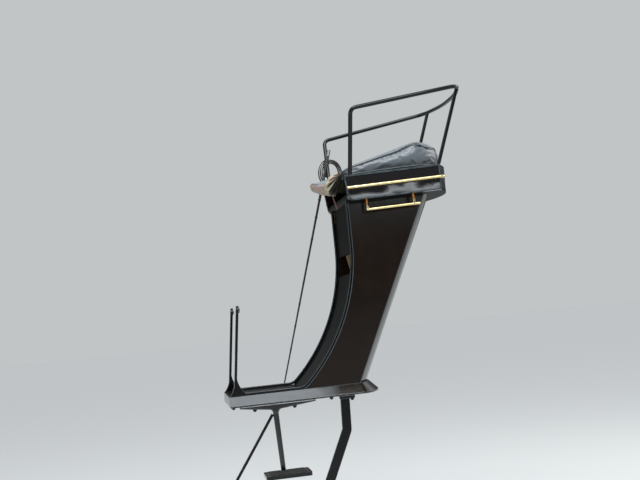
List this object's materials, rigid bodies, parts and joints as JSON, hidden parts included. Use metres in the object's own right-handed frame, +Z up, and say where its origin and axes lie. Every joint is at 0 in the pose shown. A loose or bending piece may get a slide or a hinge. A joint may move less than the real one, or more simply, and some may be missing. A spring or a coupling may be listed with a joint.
{
  "type": "horse drawn carriage driver's seat with footboard",
  "caption": "Driver's perch for the back of a two-wheeled horse drawn cab: footboard, curved riser, railed seat box with cushion, brass grab rails and step irons.",
  "frame": {"origin": "middle of the footboard's front end face, which rests on the back of the carriage body", "axes": "+X rearwards, +Y to the carriage's right hand side, +Z up, with the footboard level"},
  "size_m": [1.0335, 0.6166, 1.5865],
  "materials": {
    "coach_black": "gloss coach paint on wood",
    "iron_black": "gloss enamel on forged iron",
    "patent_leather": "patent leather over wood",
    "brass": "polished",
    "cushion_leather": "stuffed, smooth black hide",
    "worn_leather": "stuffed, worn brown-grey hide",
    "rubber": "ribbed",
    "bare_wood": "bare",
    "whip_wood": "varnished",
    "steel_cap": "satin",
    "strap_leather": "dark brown harness leather"
  },
  "bodies": {
    "root": {"bent_step_iron": "iron_black", "brass_pins_left": "brass", "brass_pins_right": "brass", "brass_rail_left": "brass", "brass_rail_right": "brass", "cushion": "cushion_leather", "cushion_front": "worn_leather", "footboard": "coach_black", "footboard_moulding": "coach_black", "grab_rail_left": "brass", "grab_rail_right": "brass", "lower_tread": "iron_black", "lower_tread_pad": "rubber", "pocket_shelf": "bare_wood", "rail_back_bar": "iron_black", "rail_front_post_left": "iron_black", "rail_front_post_right": "iron_black", "rail_rear_post_left": "iron_black", "rail_rear_post_right": "iron_black", "rail_side_bar_left": "iron_black", "rail_side_bar_right": "iron_black", "rein_loop": "strap_leather", "riser_back": "coach_black", "riser_front_lower": "coach_black", "riser_front_upper": "coach_black", "riser_side_left": "coach_black", "riser_side_right": "coach_black", "seat_back": "patent_leather", "seat_bead_left": "iron_black", "seat_bead_right": "iron_black", "seat_floor": "coach_black", "seat_front": "coach_black", "seat_lid": "bare_wood", "seat_side_left": "patent_leather", "seat_side_right": "patent_leather", "side_iron_left": "iron_black", "side_iron_right": "iron_black", "stay_rod": "iron_black", "step_iron": "iron_black", "strap_end": "strap_leather", "upper_tread": "iron_black", "upper_tread_pad": "rubber", "whip_butt": "steel_cap", "whip_stick": "whip_wood"}
  },
  "joints": []
}
